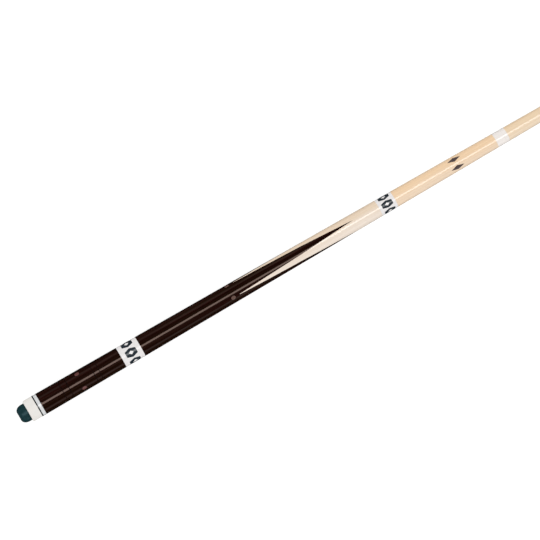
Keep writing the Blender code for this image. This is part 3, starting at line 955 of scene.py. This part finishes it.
def make_pin():
    """The steel pin: a smooth shank in the nose, then the right-hand thread."""
    rear, front = ends("joint_pin")
    start, stop = JOINT_FACE - 1.0, front + 2.0
    tip = front - PIN_TAPER
    rows = [(rear, 0.0), (rear, PIN_ROOT_R), (rear + 1, PIN_CREST_R)]
    rows += [(start, PIN_CREST_R)]
    count = int((tip - start) / PITCH * THREAD_STEPS)
    rows += [(start + (tip - start) * i / count, PIN_CREST_R) for i in range(1, count)]
    for step in range(PIN_TAPER_STEPS + 1):
        share = step / PIN_TAPER_STEPS
        rows.append((tip + PIN_TAPER * share, PIN_CREST_R - PIN_TAPER_DROP * share))
    rows.append((front, 0.0))

    def cut(x, r, angle):
        root = PIN_CREST_R - (PIN_CREST_R - PIN_ROOT_R) * thread_depth(
            x, angle, start, stop
        )
        return min(r, root)

    pin = lathe("pin", rows, SMALL_SIDES, radius=cut)
    settle(shade(pin), "joint_pin", "steel")


def make_insert():
    """The brass insert in the shaft, threaded to take the pin."""
    rear, front = ends("shaft_insert")
    count = int((front - rear) / PITCH * THREAD_STEPS)
    rows = [(rear, INSERT_R), (front, INSERT_R)]
    bore_r = PIN_CREST_R + CAD_GAP
    for i in range(count + 1):
        rows.append((front + (rear - front) * i / count, bore_r))

    def cut(x, r, angle):
        if r > bore_r:
            return r
        depth = thread_depth(x, angle, rear - 9, front + 9)
        return bore_r - (PIN_CREST_R - PIN_ROOT_R) * depth

    insert = lathe("insert", rows, SMALL_SIDES, ring=True, radius=cut)
    settle(shade(insert), "shaft_insert", "brass")


def make_bumper():
    """Rubber bumper: a flat-ended dome and a ribbed stem pushed into the cap."""
    shoulder = CAP_REAR
    stem_end = ends("bumper")[1]
    outer = [*BUMPER_DOME, (9.5, BUMPER_R)]
    outer += [(shoulder - 0.5, BUMPER_R), (shoulder - 0.15, BUMPER_R - 0.12)]
    outer += [(shoulder, BUMPER_R - 0.45), (shoulder, STEM_R)]
    for rib in range(STEM_RIBS):
        x = shoulder + 4 + RIB_SPACING * rib
        outer += [(x, STEM_R), (x + 0.3, STEM_R + 0.6), (x + 0.7, STEM_R + 0.65)]
        outer += [(x + 2.6, STEM_R)]
    outer += [(stem_end - 1.2, STEM_R), (stem_end, 4.2), (stem_end, 0.0)]
    settle(shade(lathe("bumper", outer)), "bumper", "rubber")


def make_weight():
    """Steel weight bolt with a hex socket in its rear face."""
    rear, front = ends("weight_bolt")
    outer = [(rear, WEIGHT_END_R), (rear + 0.8, WEIGHT_R)]
    for groove in range(2):
        x = rear + 13 + 22 * groove
        outer += [(x, WEIGHT_R), (x + 1, WEIGHT_NECK_R), (x + 2, WEIGHT_R)]
    outer += [(front - 0.8, WEIGHT_R), (front, WEIGHT_END_R)]
    bolt = solid("bolt", outer, SMALL_SIDES, 0.15)
    mouth, foot = rear - 4, rear + HEX_DEPTH
    rows = [(mouth, 0.0), (mouth, HEX_R), (foot, HEX_R), (foot, 0.0)]
    combine(bolt, lathe("hex", rows, 6), "DIFFERENCE")
    bolt.data.shade_smooth()
    bolt.data.set_sharp_from_angle(angle=SHARP_ANGLE)
    settle(bolt, "weight_bolt", "steel")


def make_shaft():
    """Maple shaft: the joint tenon, the long taper, and the tenon in the ferrule."""
    face = JOINT_FACE + CAD_GAP
    rear = SHAFT_REAR
    wood_front = FERRULE_REAR - SEAM
    outer = [(face, COLLAR_TENON_R), (rear, COLLAR_TENON_R)]
    outer += outside(rear, wood_front, shaft_radius, 60)
    outer += [(wood_front, FERRULE_TENON_R), (ends("shaft")[1], FERRULE_TENON_R)]
    socket_r = INSERT_R + CAD_GAP
    depth = ends("shaft_insert")[1] + 1
    socket = [(face, socket_r), (depth, socket_r), (depth, 0.0)]
    shaft = solid("shaft", outer, edge=0.05, rear_bore=socket)
    settle(shade(shaft), "shaft", "shaft")


def make_tip():
    """Ferrule, fibre pad and domed leather tip."""
    rear, front = FERRULE_REAR, ends("ferrule")[1]
    bore = [(rear, FERRULE_BORE_R), (front, FERRULE_BORE_R)]
    ferrule = tube("ferrule", [(rear, TIP_R), (front, TIP_R)], bore, edge=0.06)
    settle(shade(ferrule), "ferrule", "ferrule")
    pad_front = tight("tip_pad")[1]
    pad = [(front + SEAM, TIP_R), (pad_front, TIP_R)]
    settle(shade(solid("pad", pad, edge=0.12)), "tip_pad", "fibre")
    start, top = pad_front + SEAM, ends("tip")[1]
    brim = top - TIP_DOME
    rows = [(start, 0.0), (start, TIP_R - 0.12), (start + 0.12, TIP_R)]
    rows += [(brim - 0.3, TIP_R)]
    for step in range(24):
        share = step / 24
        crown = TIP_R * math.sqrt(1 - share**1.15) - 0.004
        rows.append((brim + TIP_DOME * share, crown))
    rows += [(top, 0.9), (top, 0.0)]
    settle(shade(lathe("tip", rows)), "tip", "leather")


def make_pieces():
    make_bumper()
    make_weight()
    make_cap()
    make_ring("cap_ring_black", "ring")
    make_ring("cap_ring_white", "white_ring")
    make_sleeve()
    make_band("lower_band", TENON_R + CAD_GAP)
    make_handle()
    make_forearm()
    make_band("upper_band", FOREARM_TENON_R + CAD_GAP)
    make_nose()
    make_ring("joint_collar", "collar", COLLAR_TENON_R + CAD_GAP)
    make_pin()
    make_ring("shaft_collar", "collar", COLLAR_TENON_R + CAD_GAP)
    make_insert()
    make_shaft()
    make_tip()


# ---------------------------------------------------------------- stage


def make_floor():
    """A plain pale floor that the cue rests on at its cap and at its tip."""
    cap_x, tip_x = CAP_REAR + 1.1, ends("tip")[1] - TIP_DOME
    drop = butt_radius(cap_x)
    slope = math.atan((drop - TIP_R) / (tip_x - cap_x))
    shape = bmesh.new()
    bmesh.ops.create_grid(shape, x_segments=8, y_segments=8, size=FLOOR_REACH)
    floor = new_object("floor", shape)
    low = -(drop + 0.05) * MM
    tilt = Matrix.Rotation(-slope, 4, "Y")
    floor.matrix_world = Matrix.Translation((cap_x * MM, 0.0, low)) @ tilt
    look = Look("floor")
    grain = look.noise(3.0, 3.0, 3.0)
    colour = look.mix(look.span(grain, 0.3, 0.7), (0.29, 0.29, 0.29), (0.31, 0.31, 0.31))
    look.set(
        Base_Color=colour,
        Roughness=0.9,
        Specular_IOR_Level=0.1,
        Emission_Color=WHITE,
        Emission_Strength=FLOOR_GLOW,
    )
    floor.visible_glossy = False
    floor.data.materials.append(look.material)


def make_world():
    """Even white fill light, kept out of reflections so that dark lacquer stays dark."""
    world = bpy.data.worlds.new("studio")
    bpy.context.scene.world = world
    world.use_nodes = True
    tree = world.node_tree
    path = tree.nodes.new("ShaderNodeLightPath")
    fill = tree.nodes["Background"]
    fill.inputs["Color"].default_value = WHITE
    fill.inputs["Strength"].default_value = WORLD_FILL
    result = fill.outputs[0]
    seen = (("Is Glossy Ray", WORLD_IN_GLOSS), ("Is Camera Ray", WORLD_IN_VIEW))
    for ray, strength in seen:
        sky = tree.nodes.new("ShaderNodeBackground")
        sky.inputs["Color"].default_value = WHITE
        sky.inputs["Strength"].default_value = strength
        mix = tree.nodes.new("ShaderNodeMixShader")
        tree.links.new(path.outputs[ray], mix.inputs[0])
        tree.links.new(result, mix.inputs[1])
        tree.links.new(sky.outputs[0], mix.inputs[2])
        result = mix.outputs[0]
    tree.links.new(result, tree.nodes["World Output"].inputs["Surface"])


def aimed(place, target, rise_deg=0.0):
    """A placement that looks from place at target, the cue rising to the right."""
    place, target = Vector(place), Vector(target)
    back = (place - target).normalized()
    along = Vector((1.0, 0.0, 0.0))
    along = (along - back * along.dot(back)).normalized()
    across = back.cross(along)
    rise = math.radians(rise_deg)
    right = along * math.cos(rise) - across * math.sin(rise)
    up = along * math.sin(rise) + across * math.cos(rise)
    turn = Matrix((right, up, back)).transposed().to_4x4()
    return Matrix.Translation(place) @ turn


def soft_box(name, direction, away, width, radiance):
    """A rectangular soft box beside the cue, its long side along it."""
    data = bpy.data.lights.new(name, "AREA")
    data.shape = "RECTANGLE"
    data.size, data.size_y = BOX_LENGTH, width
    data.energy = radiance * math.pi * BOX_LENGTH * width
    light = bpy.data.objects.new(name, data)
    bpy.context.scene.collection.objects.link(light)
    offset = around(direction) * away
    light.matrix_world = aimed((BOX_X, offset.y, offset.z), (BOX_X, 0.0, 0.0))
    light.visible_camera = False
    return light


def make_lights():
    """A narrow strip for the gloss line, dim side boxes in the lacquer, and a soft top."""
    for *box, in_gloss in BOXES:
        light = soft_box(*box)
        light.visible_diffuse = not in_gloss
        light.visible_glossy = in_gloss


def make_camera():
    """Above the cue and looking down, with the cue rising to the right."""
    data = bpy.data.cameras.new("camera")
    data.sensor_width = SENSOR_WIDTH
    distance = (Vector(CAMERA_PLACE) - Vector(CAMERA_TARGET)).length
    data.lens = SENSOR_WIDTH * distance / VIEW_WIDTH
    camera = bpy.data.objects.new("camera", data)
    camera.matrix_world = aimed(CAMERA_PLACE, CAMERA_TARGET, CUE_RISE)
    bpy.context.scene.collection.objects.link(camera)
    bpy.context.scene.camera = camera


make_pieces()
make_floor()
make_world()
make_lights()
make_camera()
bpy.context.scene.view_settings.view_transform = "Standard"
